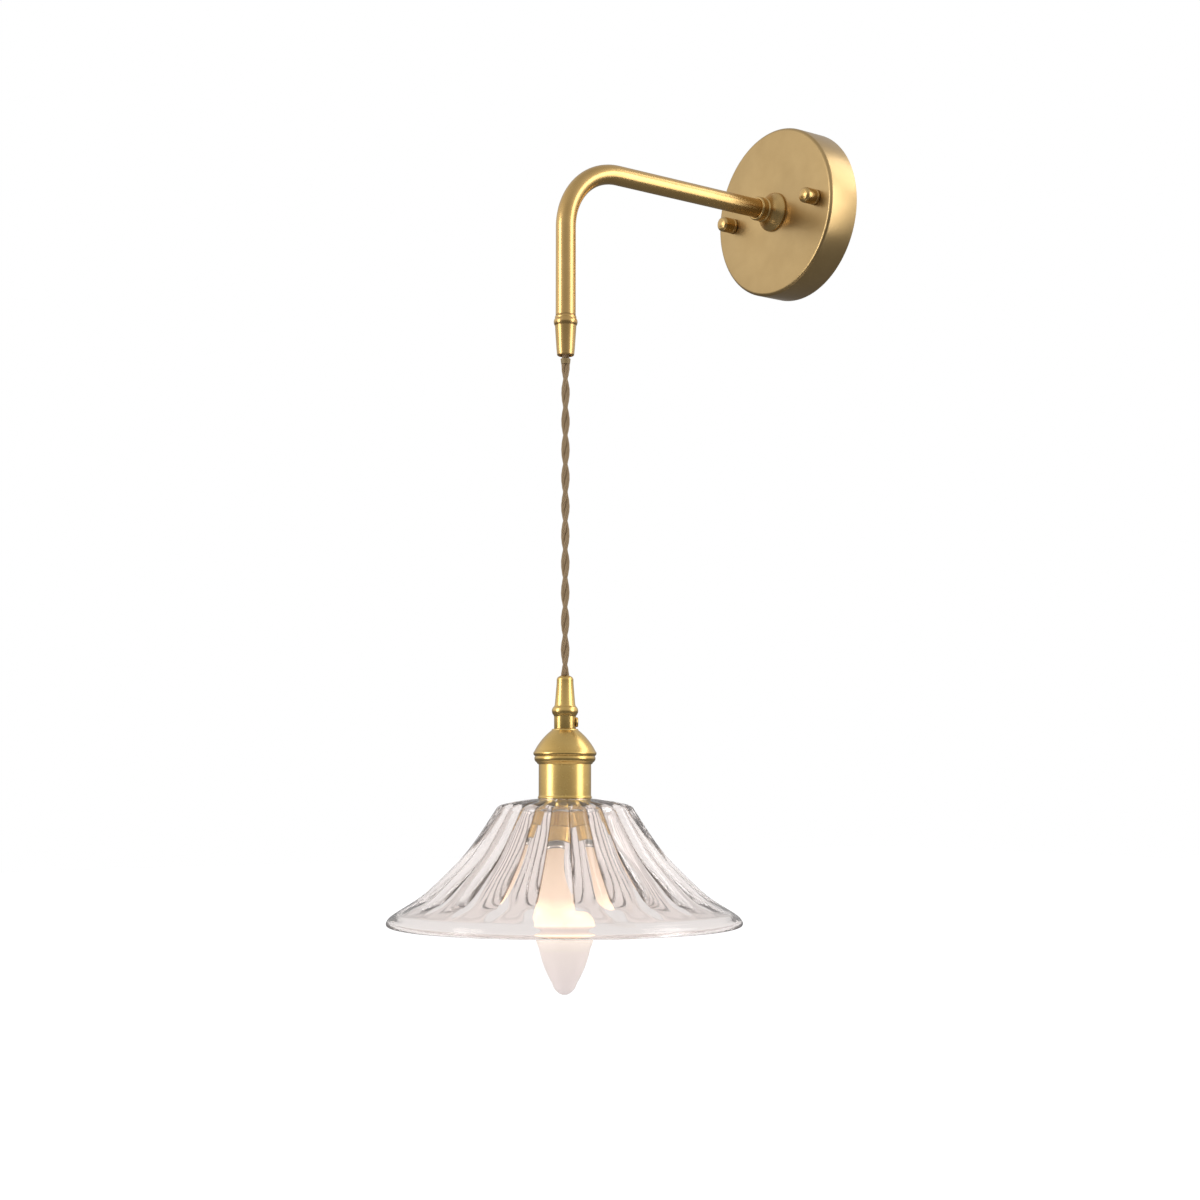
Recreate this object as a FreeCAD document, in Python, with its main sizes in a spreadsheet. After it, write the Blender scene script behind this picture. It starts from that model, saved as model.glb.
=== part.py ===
"""Hanging pendant wall sconce: brass canopy and bent arm, twisted cord, candle holder and fluted glass shade.

Frame: the wall is the plane Y = 0, the lamp stands out from it towards -Y, +Z is up.
Origin: centre of the canopy, on the wall.  Every size is in millimetres.
"""
import FreeCAD
import Part
import Sketcher
import math
import os
import re

V = FreeCAD.Vector

# ---------------------------------------------------------------- driving sizes
SIZES = {
    # canopy and its wall bracket
    "canopy_radius": 54.7, "canopy_depth": 22.5, "canopy_wall": 1.2, "canopy_edge": 2.2,
    "stud_offset": 40.0, "stud_radius": 2.0, "stud_tip": 30.0,
    "strap_half": 47.0, "strap_flat_half": 31.0, "strap_raise": 4.0, "strap_plate": 1.6,
    "strap_width": 20.0, "slot_offset": 21.0, "slot_length": 12.0, "slot_width": 5.0,
    "tab_width": 18.0, "tab_top": 42.0,
    "nut_barrel": 4.9, "nut_height": 11.2, "thread_gap": 0.05,
    # arm
    "tube_radius": 6.0, "tube_bore": 5.0, "arm_reach": 188.6, "arm_bend": 39.0, "arm_drop": 93.0,
    "arm_seat": 27.0, "nipple_radius": 4.95, "nipple_bore": 3.6, "rosette_radius": 12.6,
    "rosette_height": 14.9, "neck_radius": 7.7,
    # cord grip on the arm's end, and the swivel that the cord hangs from
    "grip_bottom": 117.4, "grip_height": 24.4, "spigot": 8.0, "swivel_rise": 2.2,
    "cavity_radius": 4.5, "swivel_radius": 4.2, "swivel_half": 0.75, "swivel_bore": 3.1,
    # cord
    "cord_radius": 2.5, "cord_top_rise": 1.0, "cord_bottom": 318.6, "sleeve_top": 119.3,
    "sleeve_length": 3.0, "flex_radius": 2.3, "lead_radius": 1.0,
    # lamp holder
    "lower_grip_bottom": 338.9, "lower_grip_height": 31.1, "cord_fit": 0.06,
    "dome_bottom": 359.5, "dome_height": 20.0, "dome_radius": 18.0, "dome_wall": 1.0,
    "shell_bottom": 404.5, "shell_height": 48.0, "shell_radius": 15.3, "skirt_radius": 14.0,
    "seat_height": 25.1, "ring_height": 11.7, "ring_radius": 19.6, "ring_body": 17.2,
    "washer_thickness": 0.8, "insert_radius": 12.6, "insert_height": 50.0,
    # bulb
    "bulb_tip": 492.2, "bulb_glass_length": 83.2, "bulb_radius": 17.5, "cap_radius": 6.9,
    "cap_length": 22.5,
    # glass shade
    "shade_top": 379.45, "shade_hole": 14.4, "shade_rim": 103.0,
    "shade_seat": 4.0, "shade_wall": 2.3, "flute_count": 24, "flute_depth": 2.6,
}

doc = FreeCAD.newDocument("PendantWallSconce")
sheet = doc.addObject("Spreadsheet::Sheet", "Sizes")
for row, (alias, amount) in enumerate(SIZES.items(), start=1):
    sheet.set("A%d" % row, alias)
    sheet.set("B%d" % row, str(amount))
    sheet.setAlias("B%d" % row, alias)
doc.recompute()

nodes = {}


def bound(expression):
    """The expression with each size written as a reference to the sheet."""
    return re.sub(r"[a-z_]\w+", lambda word: "Sizes." + word.group() if word.group() in SIZES else word.group(),
                  str(expression))


def size(expression):
    """The number that an expression of the sheet's sizes stands for."""
    return float(sheet.evalExpression(bound(expression)))


# ---------------------------------------------------------------- building blocks
def new_body(label):
    body = doc.addObject("PartDesign::Body", label)
    body.Label = label
    return body


def origin_plane(body, role):
    return [feature for feature in body.Origin.OriginFeatures if feature.Role == role][0]


def new_sketch(body, role, name, offset=0.0):
    sketch = body.newObject("Sketcher::SketchObject", name)
    sketch.AttachmentSupport = [(origin_plane(body, role), "")]
    sketch.MapMode = "FlatFace"
    sketch.AttachmentOffset = FreeCAD.Placement(V(0, 0, offset), FreeCAD.Rotation())
    return sketch


def arc_between(start, end, radius):
    """The short arc from start to end; a plus radius turns left on the way, a minus radius turns right."""
    chord = end - start
    half = chord.Length / 2
    lift = math.sqrt(max(radius * radius - half * half, 0.0))
    left = V(-chord.y, chord.x, 0).normalize()
    centre = (start + end) * 0.5 + left * (lift if radius > 0 else -lift)
    first, last = (start, end) if radius > 0 else (end, start)
    first_angle = math.atan2(first.y - centre.y, first.x - centre.x)
    last_angle = math.atan2(last.y - centre.y, last.x - centre.x)
    if last_angle < first_angle:
        last_angle += 2 * math.pi
    return Part.ArcOfCircle(Part.Circle(centre, V(0, 0, 1), abs(radius)), first_angle, last_angle)


def outline(body, role, corners, name):
    """A closed outline whose corners are (across, up) or (across, up, radius of the arc to the next)."""
    sketch = new_sketch(body, role, name)
    points = [V(size(corner[0]), size(corner[1]), 0) for corner in corners]
    ends = []
    for index, corner in enumerate(corners):
        start, end = points[index], points[(index + 1) % len(points)]
        if len(corner) == 3:
            radius = size(corner[2])
            sketch.addGeometry(arc_between(start, end, radius))
            ends.append((1, 2) if radius > 0 else (2, 1))
            rule = sketch.addConstraint(Sketcher.Constraint("Radius", index, abs(radius)))
            sketch.setExpression("Constraints[%d]" % rule, "abs(%s)" % bound(corner[2]))
        else:
            sketch.addGeometry(Part.LineSegment(start, end))
            ends.append((1, 2))
    for index, corner in enumerate(corners):
        following = (index + 1) % len(corners)
        sketch.addConstraint(Sketcher.Constraint("Coincident", index, ends[index][1],
                                                 following, ends[following][0]))
        for axis, kind, value in ((-2, "DistanceX", corner[0]), (-1, "DistanceY", corner[1])):
            if size(value) == 0:
                sketch.addConstraint(Sketcher.Constraint("PointOnObject", index, ends[index][0], axis))
            else:
                rule = sketch.addConstraint(
                    Sketcher.Constraint(kind, -1, 1, index, ends[index][0], size(value)))
                sketch.setExpression("Constraints[%d]" % rule, bound(value))
    return sketch


def circles(sketch, centres, radius):
    """Equal circles at (across, up) places, their radius and places bound to the sheet."""
    for across, up in centres:
        index = sketch.addGeometry(Part.Circle(V(size(across), size(up), 0), V(0, 0, 1), size(radius)))
        rule = sketch.addConstraint(Sketcher.Constraint("Radius", index, size(radius)))
        sketch.setExpression("Constraints[%d]" % rule, bound(radius))
        for axis, kind, value in ((-2, "DistanceX", across), (-1, "DistanceY", up)):
            if size(value) == 0:
                sketch.addConstraint(Sketcher.Constraint("PointOnObject", index, 3, axis))
            else:
                rule = sketch.addConstraint(Sketcher.Constraint(kind, -1, 1, index, 3, size(value)))
                sketch.setExpression("Constraints[%d]" % rule, bound(value))


def through_pocket(body, sketch, name):
    pocket = body.newObject("PartDesign::Pocket", name)
    pocket.Profile = sketch
    pocket.Type = 1
    pocket.Midplane = True
    return pocket


def hang(item, height, across="0", out="arm_reach"):
    """Puts a piece's own origin on the pendant line, the given distance below the canopy's centre."""
    item.setExpression(".Placement.Base.x", bound(across))
    item.setExpression(".Placement.Base.y", bound("-(%s)" % out))
    item.setExpression(".Placement.Base.z", bound("-(%s)" % height))


def face_out(item, out, across="0", up="0"):
    """Turns a piece's own +Z to point away from the wall, and starts it the given distance from the wall."""
    item.Placement = FreeCAD.Placement(V(0, 0, 0), FreeCAD.Rotation(V(1, 0, 0), 90))
    item.setExpression(".Placement.Base.x", bound(across))
    item.setExpression(".Placement.Base.y", bound("-(%s)" % out))
    item.setExpression(".Placement.Base.z", bound(up))


def turned(label, corners):
    """A piece turned on its own Z axis from a half outline."""
    body = new_body(label)
    sketch = outline(body, "XZ_Plane", corners, label + "_outline")
    turning = body.newObject("PartDesign::Revolution", label + "_turning")
    turning.Profile = sketch
    turning.ReferenceAxis = (sketch, ["V_Axis"])
    turning.Angle = 360
    return body


def hex_nut(label, across_flats, thickness, bore):
    """A plain hexagon nut standing on its own XY plane."""
    body = new_body(label)
    sketch = new_sketch(body, "XY_Plane", label + "_outline")
    corner = size(across_flats) / math.sqrt(3)
    tips = [V(corner * math.cos(math.radians(60 * k)), corner * math.sin(math.radians(60 * k)), 0)
            for k in range(6)]
    for k in range(6):
        sketch.addGeometry(Part.LineSegment(tips[k], tips[(k + 1) % 6]))
    for k in range(6):
        sketch.addConstraint(Sketcher.Constraint("Coincident", k, 2, (k + 1) % 6, 1))
    circles(sketch, [("0", "0")], bore)
    pad = body.newObject("PartDesign::Pad", label + "_pad")
    pad.Profile = sketch
    pad.setExpression("Length", bound(thickness))
    return body


def group(label, members):
    """Identical pieces kept together under one name, each still its own solid."""
    together = doc.addObject("Part::Compound", label)
    together.Label = label
    together.Links = members
    nodes[label] = together
    return together


def rod(name, radius, length):
    cylinder = doc.addObject("Part::Cylinder", name)
    cylinder.setExpression("Radius", bound(radius))
    cylinder.setExpression("Height", bound(length))
    return cylinder


def cut(label, base, tool):
    """The base with the tool's shape taken away."""
    result = doc.addObject("Part::Cut", label)
    result.Label = label
    result.Base = base
    result.Tool = tool
    nodes[label] = result
    return result


def routed_wire(points, radii):
    """Straight runs joined by tangent arcs, for a tube's centre line."""
    edges = []
    start = points[0]
    for corner, following, radius in zip(points[1:-1], points[2:], radii):
        way_in = (corner - start).normalize()
        way_out = (following - corner).normalize()
        half_turn = way_in.getAngle(way_out) / 2
        back = radius * math.tan(half_turn)
        first, last = corner - way_in * back, corner + way_out * back
        inward = (way_out - way_in).normalize()
        middle = corner + inward * (radius / math.cos(half_turn) - radius)
        edges.append(Part.LineSegment(start, first).toShape())
        edges.append(Part.Arc(first, middle, last).toShape())
        start = last
    edges.append(Part.LineSegment(start, points[-1]).toShape())
    return Part.Wire(edges)


def tube_along(wire, radius):
    """A round tube swept along a wire, checked against its section times its length."""
    start = wire.Edges[0].valueAt(wire.Edges[0].FirstParameter)
    heading = wire.Edges[0].tangentAt(wire.Edges[0].FirstParameter)
    section = Part.Wire(Part.Circle(start, heading, radius).toShape())
    solid = wire.makePipeShell([section], True, False)
    expected = math.pi * radius * radius * wire.Length
    print("tube volume %.1f, section times length %.1f" % (solid.Volume, expected))
    return solid


# ---------------------------------------------------------------- canopy and wall bracket
def make_canopy():
    """Spun brass cup with a softly rolled front edge, open to the wall."""
    body = turned("canopy", [
        ("canopy_radius - canopy_wall", "0"),
        ("canopy_radius", "0"),
        ("canopy_radius", "canopy_depth - canopy_edge", "canopy_edge"),
        ("canopy_radius - canopy_edge", "canopy_depth"),
        ("0", "canopy_depth"),
        ("0", "canopy_depth - canopy_wall"),
        ("canopy_radius - canopy_edge", "canopy_depth - canopy_wall", "canopy_wall - canopy_edge"),
        ("canopy_radius - canopy_wall", "canopy_depth - canopy_edge"),
    ])
    centre = new_sketch(body, "XY_Plane", "canopy_centre_hole")
    circles(centre, [("0", "0")], "nipple_radius + 0.25")
    through_pocket(body, centre, "canopy_centre_pocket")
    studs = new_sketch(body, "XY_Plane", "canopy_stud_holes")
    circles(studs, [("stud_offset", "0"), ("-stud_offset", "0")], "stud_radius + 0.3")
    through_pocket(body, studs, "canopy_stud_pocket")
    face_out(body, "0")
    nodes["canopy"] = body


def make_wall_bracket():
    """Steel strap, flat on the wall, with raised ends for the stud heads and an earth tab."""
    body = new_body("wall_bracket")
    run = "(strap_half - strap_flat_half - strap_raise)"
    plate = "strap_plate"
    slant = "0.41 * strap_plate"
    strap = outline(body, "XY_Plane", [
        ("0", "strap_raise"),
        (run, "strap_raise"),
        ("strap_half - strap_flat_half", "0"),
        ("strap_half + strap_flat_half", "0"),
        ("2 * strap_half - " + run, "strap_raise"),
        ("2 * strap_half", "strap_raise"),
        ("2 * strap_half", "strap_raise + " + plate),
        ("2 * strap_half - %s - %s" % (run, slant), "strap_raise + " + plate),
        ("strap_half + strap_flat_half - " + slant, plate),
        ("strap_half - strap_flat_half + " + slant, plate),
        ("%s + %s" % (run, slant), "strap_raise + " + plate),
        ("0", "strap_raise + " + plate),
    ], "strap_profile")
    pad = body.newObject("PartDesign::Pad", "strap_pad")
    pad.Profile = strap
    pad.Midplane = True
    pad.setExpression("Length", bound("strap_width"))
    tab = outline(body, "XZ_Plane", [
        ("strap_half - tab_width / 2", "strap_width / 2 - 2"),
        ("strap_half + tab_width / 2", "strap_width / 2 - 2"),
        ("strap_half + tab_width / 2", "tab_top - 4", "4"),
        ("strap_half + tab_width / 2 - 4", "tab_top"),
        ("strap_half - tab_width / 2 + 4", "tab_top", "4"),
        ("strap_half - tab_width / 2", "tab_top - 4"),
    ], "tab_outline")
    tab_pad = body.newObject("PartDesign::Pad", "tab_pad")
    tab_pad.Profile = tab
    tab_pad.Reversed = True
    tab_pad.setExpression("Length", bound(plate))
    slots = new_sketch(body, "XZ_Plane", "slot_outlines")
    half = "(slot_length - slot_width) / 2"
    for side in ("-", "+"):
        centre = "strap_half %s slot_offset" % side
        left, right = size("%s - %s" % (centre, half)), size("%s + %s" % (centre, half))
        radius = size("slot_width / 2")
        slots.addGeometry(Part.LineSegment(V(left, -radius, 0), V(right, -radius, 0)))
        slots.addGeometry(Part.ArcOfCircle(Part.Circle(V(right, 0, 0), V(0, 0, 1), radius),
                                           -math.pi / 2, math.pi / 2))
        slots.addGeometry(Part.LineSegment(V(right, radius, 0), V(left, radius, 0)))
        slots.addGeometry(Part.ArcOfCircle(Part.Circle(V(left, 0, 0), V(0, 0, 1), radius),
                                           math.pi / 2, 3 * math.pi / 2))
    circles(slots, [("strap_half - stud_offset", "0"), ("strap_half + stud_offset", "0"),
                    ("strap_half", "tab_top - 5")], "stud_radius + 0.02")
    through_pocket(body, slots, "slot_pocket")
    body.Placement = FreeCAD.Placement(V(0, 0, 0), FreeCAD.Rotation(V(0, 0, 1), 180))
    body.setExpression(".Placement.Base.x", bound("strap_half"))
    nodes["wall_bracket"] = body


def make_studs():
    """Two long M4 screws put through the strap from behind, with hexagon lock nuts in front."""
    studs, locks = [], []
    for name, side in (("left", "-"), ("right", "")):
        stud = turned("stud_" + name, [
            ("0", "1.2"),
            ("3.6", "1.2"),
            ("3.6", "strap_raise"),
            ("stud_radius", "strap_raise"),
            ("stud_radius", "stud_tip - 0.6"),
            ("stud_radius - 0.6", "stud_tip"),
            ("0", "stud_tip"),
        ])
        face_out(stud, "0", side + "stud_offset")
        studs.append(stud)
        lock = hex_nut("stud_nut_" + name, "7", "3.2", "stud_radius + 0.02")
        face_out(lock, "strap_raise + strap_plate", side + "stud_offset")
        locks.append(lock)
    group("bracket_studs", studs)
    group("stud_lock_nuts", locks)


def make_cap_nut(name, side):
    """Barrel cap nut with a waisted foot and a domed end, blind-tapped over its stud."""
    nut = turned(name, [
        ("stud_radius + thread_gap", "0.3"),
        ("nut_barrel + 0.1", "0.3"),
        ("nut_barrel + 0.1", "1.7"),
        ("nut_barrel - 0.25", "1.9"),
        ("nut_barrel - 0.25", "2.2"),
        ("nut_barrel", "2.4"),
        ("nut_barrel", "nut_height - 2.8", "2.4"),
        ("nut_barrel - 2.4", "nut_height - 0.4", "9"),
        ("0.6", "nut_height"),
        ("0", "nut_height"),
        ("0", "8.6"),
        ("stud_radius + thread_gap", "8.6"),
    ])
    face_out(nut, "canopy_depth", side + "stud_offset")
    nodes[name] = nut


def make_terminals():
    """Three-way terminal block on the bracket's tab, with its clamp screws, and the earth screw."""
    block = new_body("terminal_block")
    humps = outline(block, "XZ_Plane", [
        ("0", "0"), ("27", "0"), ("27", "6.5"),
        ("25.5", "9.5"), ("19.5", "9.5"), ("18", "6.5"),
        ("16.5", "9.5"), ("10.5", "9.5"), ("9", "6.5"),
        ("7.5", "9.5"), ("1.5", "9.5"), ("0", "6.5"),
    ], "block_profile")
    pad = block.newObject("PartDesign::Pad", "block_pad")
    pad.Profile = humps
    pad.Reversed = True
    pad.Length = 15
    bores = new_sketch(block, "XZ_Plane", "block_wire_bores")
    circles(bores, [("4.5", "4.5"), ("13.5", "4.5"), ("22.5", "4.5")], "1.5")
    through_pocket(block, bores, "block_bore_pocket")
    block.Placement = FreeCAD.Placement(V(-13.5, 0, 17), FreeCAD.Rotation(V(1, 0, 0), 90))
    block.setExpression(".Placement.Base.y", bound("-strap_plate"))
    nodes["terminal_block"] = block
    screws = []
    for pole in range(3):
        screw = rod("terminal_screw_%d" % pole, "1.6", "3")
        screw.Placement = FreeCAD.Placement(V(9.0 * (pole - 1), 0, 24.5), FreeCAD.Rotation(V(1, 0, 0), 90))
        screw.setExpression(".Placement.Base.y", bound("-(strap_plate + 9.5)"))
        screws.append(screw)
    group("terminal_screws", screws)
    earth = turned("earth_screw", [
        ("0", "0"), ("stud_radius", "0"), ("stud_radius", "strap_plate"),
        ("3.6", "strap_plate"), ("3.6", "strap_plate + 1.6", "1.0"),
        ("2.8", "strap_plate + 2.4"), ("0", "strap_plate + 2.4"),
    ])
    face_out(earth, "0", "0", "tab_top - 5")
    nodes["earth_screw"] = earth


# ---------------------------------------------------------------- arm
def make_arm():
    """Bent brass tube, the bell that it stands in, and the threaded tube, washer and nut behind."""
    tube = new_body("arm_tube")
    path = new_sketch(tube, "YZ_Plane", "arm_path")
    reach, drop, bend, seat = (size(word) for word in ("arm_reach", "arm_drop", "arm_bend", "arm_seat"))
    path.addGeometry(Part.LineSegment(V(-seat, 0, 0), V(bend - reach, 0, 0)))
    path.addGeometry(Part.ArcOfCircle(Part.Circle(V(bend - reach, -bend, 0), V(0, 0, 1), bend),
                                      math.pi / 2, math.pi))
    path.addGeometry(Part.LineSegment(V(-reach, -bend, 0), V(-reach, -drop, 0)))
    path.addConstraint(Sketcher.Constraint("PointOnObject", 0, 1, -1))
    path.addConstraint(Sketcher.Constraint("PointOnObject", 0, 2, -1))
    path.addConstraint(Sketcher.Constraint("Tangent", 0, 2, 1, 1))
    path.addConstraint(Sketcher.Constraint("Tangent", 1, 2, 2, 1))
    path.addConstraint(Sketcher.Constraint("Vertical", 2))
    for kind, item, place, value in (("DistanceX", 0, 1, "-arm_seat"), ("DistanceX", 2, 2, "-arm_reach"),
                                     ("DistanceY", 2, 2, "-arm_drop")):
        rule = path.addConstraint(Sketcher.Constraint(kind, -1, 1, item, place, size(value)))
        path.setExpression("Constraints[%d]" % rule, bound(value))
    rule = path.addConstraint(Sketcher.Constraint("Radius", 1, bend))
    path.setExpression("Constraints[%d]" % rule, bound("arm_bend"))
    section = new_sketch(tube, "XZ_Plane", "arm_section", seat)
    section.setExpression(".AttachmentOffset.Base.z", bound("arm_seat"))
    circles(section, [("0", "0")], "tube_radius")
    circles(section, [("0", "0")], "tube_bore")
    sweep = tube.newObject("PartDesign::AdditivePipe", "arm_sweep")
    sweep.Profile = section
    sweep.Spine = (path, ["Edge1", "Edge2", "Edge3"])
    nodes["arm_tube"] = tube

    bell = turned("arm_bell", [
        ("nipple_radius + 0.25", "0"),
        ("rosette_radius", "0"),
        ("rosette_radius", "1.2"),
        ("rosette_radius - 0.8", "2", "-9"),
        ("neck_radius + 0.2", "9.2"),
        ("neck_radius - 0.5", "9.6"),
        ("neck_radius - 0.5", "10.2"),
        ("neck_radius", "10.6"),
        ("neck_radius", "rosette_height - 0.7"),
        ("neck_radius - 0.6", "rosette_height"),
        ("tube_radius + 0.02", "rosette_height"),
        ("tube_radius + 0.02", "arm_seat - canopy_depth"),
        ("nipple_radius + 0.25", "arm_seat - canopy_depth"),
    ])
    face_out(bell, "canopy_depth")
    lean = math.radians(-60)
    heading = V(math.cos(lean), 0, math.sin(lean))
    across = FreeCAD.Rotation(V(0, 0, 1), heading)
    drill = rod("arm_screw_drill", "stud_radius", "6")
    drill.Placement = FreeCAD.Placement(heading * 5.0 + V(0, -size("canopy_depth + 12.4"), 0), across)
    cut("arm_rosette", bell, drill)
    screw = rod("arm_grub_screw", "stud_radius - 0.02", "1.3")
    screw.Placement = FreeCAD.Placement(heading * size("tube_radius + 0.02") + V(0, -size("canopy_depth + 12.4"), 0),
                                        across)
    screw.Label = "arm_grub_screw"
    nodes["arm_grub_screw"] = screw

    nipple = turned("arm_nipple", [
        ("nipple_bore", "0"), ("nipple_radius - 0.4", "0"), ("nipple_radius", "0.4"),
        ("nipple_radius", "40"), ("nipple_bore", "40"),
    ])
    face_out(nipple, "13")
    nodes["arm_nipple"] = nipple
    washer = turned("arm_lock_washer", [
        ("nipple_radius + 0.05", "0"), ("9", "0"), ("9", "1.2"), ("nipple_radius + 0.05", "1.2"),
    ])
    face_out(washer, "canopy_depth - canopy_wall - 1.2")
    nodes["arm_lock_washer"] = washer
    nut = hex_nut("arm_lock_nut", "14", "4", "nipple_radius + 0.02")
    face_out(nut, "canopy_depth - canopy_wall - 1.2 - 4")
    nodes["arm_lock_nut"] = nut


def make_inner_wires():
    """The flex that runs through the arm, and the two leads from it to the terminal block."""
    reach = size("arm_reach")
    flex = doc.addObject("Part::Feature", "arm_flex")
    flex.Label = "arm_flex"
    flex_top = size("grip_bottom - swivel_rise") - size("cord_top_rise") - 1.4
    route = [V(0, -11, 0), V(0, -reach, 0), V(0, -reach, -flex_top)]
    flex.Shape = tube_along(routed_wire(route, [size("arm_bend")]), size("flex_radius"))
    nodes["arm_flex"] = flex
    leads = doc.addObject("Part::Feature", "feed_leads")
    leads.Label = "feed_leads"
    tubes = []
    for side in (-1, 1):
        block_y = -size("strap_plate") - 4.5
        ends = [V(side * 1.2, -11, 0), V(side * 1.2, block_y, 0.0),
                V(side * 9.0, block_y, 13.0), V(side * 9.0, block_y, 20.0)]
        tubes.append(tube_along(routed_wire(ends, [3.0, 4.0]), size("lead_radius")))
    leads.Shape = Part.makeCompound(tubes)
    nodes["feed_leads"] = leads


# ---------------------------------------------------------------- cord grips and cord
def make_upper_grip():
    """Tapered cord grip under the arm, with a bead at its shoulder and a round socket for the swivel."""
    mouth = "sqrt(cavity_radius * cavity_radius - swivel_rise * swivel_rise)"
    throat = "swivel_rise + sqrt(cavity_radius * cavity_radius - 3.2 * 3.2)"
    grip = turned("cord_grip_upper", [
        (mouth, "0"),
        ("4.6", "0", "0.9"),
        ("5.15", "0.8"),
        ("5.5", "4.6"),
        ("6.4", "18.2", "3.5"),
        ("6.4", "22.5"),
        ("6.45", "23.4"),
        ("tube_radius", "grip_height"),
        ("nipple_radius", "grip_height"),
        ("nipple_radius", "grip_height + spigot"),
        ("3.2", "grip_height + spigot"),
        ("3.2", throat, "-cavity_radius"),
    ])
    hang(grip, "grip_bottom")
    nodes["cord_grip_upper"] = grip
    edge = "sqrt(swivel_radius * swivel_radius - swivel_half * swivel_half)"
    ring = turned("swivel_ring", [
        ("swivel_bore", "0"),
        (edge, "0", "swivel_radius"),
        (edge, "2 * swivel_half"),
        ("swivel_bore", "2 * swivel_half"),
    ])
    hang(ring, "grip_bottom - swivel_rise + swivel_half")
    nodes["swivel_ring"] = ring


def make_cord():
    """The straight hanging stretch of cord, and the tapered sleeve round it under the upper grip."""
    cord = rod("pendant_cord", "cord_radius", "cord_bottom - grip_bottom + swivel_rise + cord_top_rise")
    cord.Label = "pendant_cord"
    hang(cord, "cord_bottom")
    nodes["pendant_cord"] = cord
    sleeve = turned("cord_sleeve_upper", [
        ("cord_radius", "0"), ("cord_radius + 0.15", "0"),
        ("cord_radius + 0.5", "sleeve_length"), ("cord_radius", "sleeve_length"),
    ])
    hang(sleeve, "sleeve_top + sleeve_length")
    nodes["cord_sleeve_upper"] = sleeve


def make_lower_grip():
    """The matching grip on the lamp head, its side screw, and the threaded tube and nut below."""
    body = turned("lower_grip_turned", [
        ("nipple_radius + 0.02", "0"),
        ("6.4", "0"),
        ("6.4", "7.2"),
        ("6.7", "7.9", "3.5"),
        ("6.3", "13.2"),
        ("5.95", "14.3"),
        ("4.95", "26.2"),
        ("4.9", "28.4", "2.2"),
        ("3.5", "30.6"),
        ("cord_radius + cord_fit", "lower_grip_height"),
        ("cord_radius + cord_fit", "19.8"),
        ("3.6", "19.8"),
        ("3.6", "8.5"),
        ("nipple_radius + 0.02", "8.5"),
    ])
    hang(body, "lower_grip_bottom")
    heading = V(0.6, 0.8, 0)
    sideways = FreeCAD.Rotation(V(0, 0, 1), heading)
    screw_place = V(0, -size("arm_reach"), -size("lower_grip_bottom - 3.8"))
    drill = rod("head_screw_drill", "1.5", "8")
    drill.Placement = FreeCAD.Placement(screw_place + heading * 4, sideways)
    cut("cord_grip_lower", body, drill)
    screw = turned("head_clamp_screw", [
        ("0", "0"), ("1.48", "0"), ("1.48", "1.3"), ("2.9", "1.3"), ("2.9", "2.2", "0.8"),
        ("2.3", "2.7"), ("0", "2.7"),
    ])
    screw.Placement = FreeCAD.Placement(screw_place + heading * 5.1, sideways)
    nodes["head_clamp_screw"] = screw
    nipple = turned("head_nipple", [
        ("nipple_bore", "0"), ("nipple_radius", "0"), ("nipple_radius", "15.3"), ("nipple_bore", "15.3"),
    ])
    hang(nipple, "lower_grip_bottom + 7.0")
    nodes["head_nipple"] = nipple
    nut = hex_nut("head_lock_nut", "12", "4", "nipple_radius + 0.02")
    hang(nut, "dome_bottom - dome_height + dome_wall + 4")
    nodes["head_lock_nut"] = nut


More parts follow.
